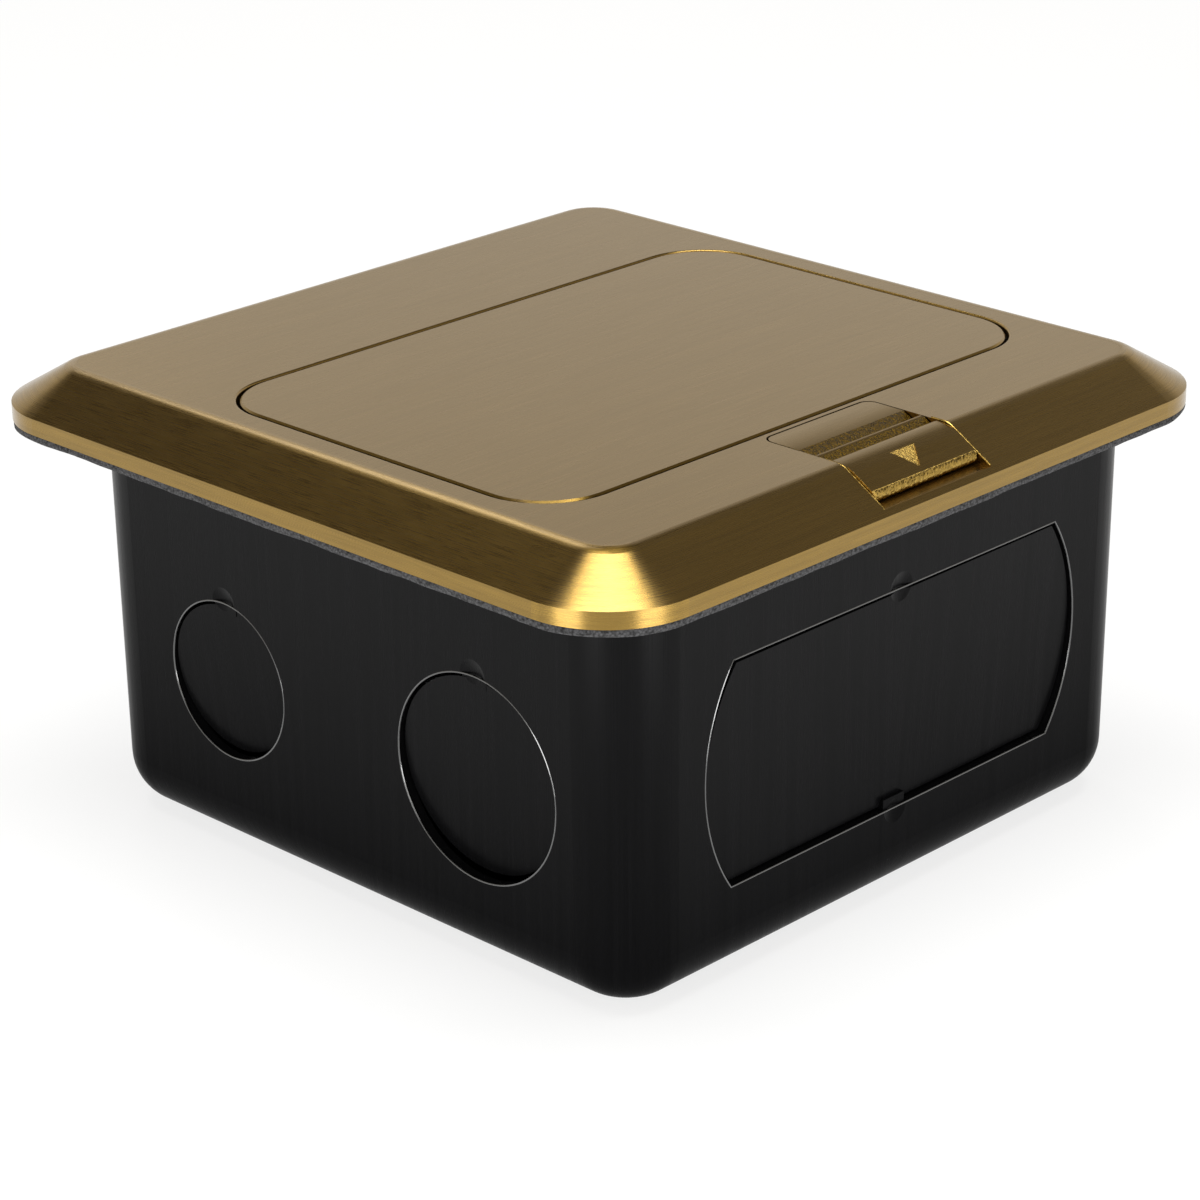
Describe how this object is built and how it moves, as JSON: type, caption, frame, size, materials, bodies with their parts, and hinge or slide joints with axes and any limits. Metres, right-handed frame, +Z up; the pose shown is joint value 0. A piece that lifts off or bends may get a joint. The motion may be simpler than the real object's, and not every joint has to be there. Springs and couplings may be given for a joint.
{
  "type": "pop-up floor socket box",
  "caption": "Square brass floor plate with a latched pop-up lid carrying power outlets, over a deep black steel back box with knockouts.",
  "frame": {"origin": "centre of the cover plate in plan, at the underside of the box base", "axes": "+X right, +Y from the latch towards the hinge, +Z up out of the floor"},
  "size_m": [0.12, 0.12, 0.0636],
  "materials": {
    "box_paint": "satin black coat over deep-drawn steel",
    "foam": "dark grey closed-cell foam",
    "brass": "brushed",
    "zinc_plate": "zinc plated",
    "steel": "zinc plated",
    "spring_steel": "drawn wire",
    "face_plastic": "black moulding",
    "body_plastic": "black moulding",
    "contact_brass": "bright",
    "nickel": "nickel plated",
    "green_paint": "green lacquer"
  },
  "bodies": {
    "fixed_box": {"back_box": "box_paint", "box_ear_front_left": "box_paint", "box_ear_front_right": "box_paint", "box_ear_rear_left": "box_paint", "box_ear_rear_right": "box_paint", "cover_gasket": "foam", "cover_plate": "brass", "cover_screws": "steel", "frame_screws": "steel", "ground_screw": "green_paint", "hinge_clip": "steel", "hinge_pin": "steel", "inner_frame": "zinc_plate", "latch_spring": "spring_steel", "lid_seal": "foam", "popup_spring_left": "spring_steel", "popup_spring_right": "spring_steel"},
    "pop_up_lid": {"cradle": "zinc_plate", "lid": "brass", "lid_screws": "steel", "socket_face": "face_plastic", "socket_body": "body_plastic", "hot_bus": "contact_brass", "neutral_bus": "contact_brass", "ground_bus": "contact_brass", "hot_terminal_screw": "contact_brass", "neutral_terminal_screw": "nickel", "ground_terminal_screw": "green_paint", "socket_screws": "steel"},
    "latch": {"latch_slide": "brass", "latch_tongue": "zinc_plate", "latch_screws": "steel"}
  },
  "joints": [
    {"name": "popup_hinge", "type": "hinge", "parent": "fixed_box", "child": "pop_up_lid", "pos_m": [0, 0.0122, 0.05865], "axis": [-1, 0, 0], "range_deg": [0, 48], "deforming": ["popup_spring_left", "popup_spring_right"]},
    {"name": "latch_slide", "type": "slide", "parent": "fixed_box", "child": "latch", "axis": [0, -1, 0], "range_m": [0, 0.0026], "stiffness_N_per_m": 400, "deforming": ["latch_spring"]}
  ]
}
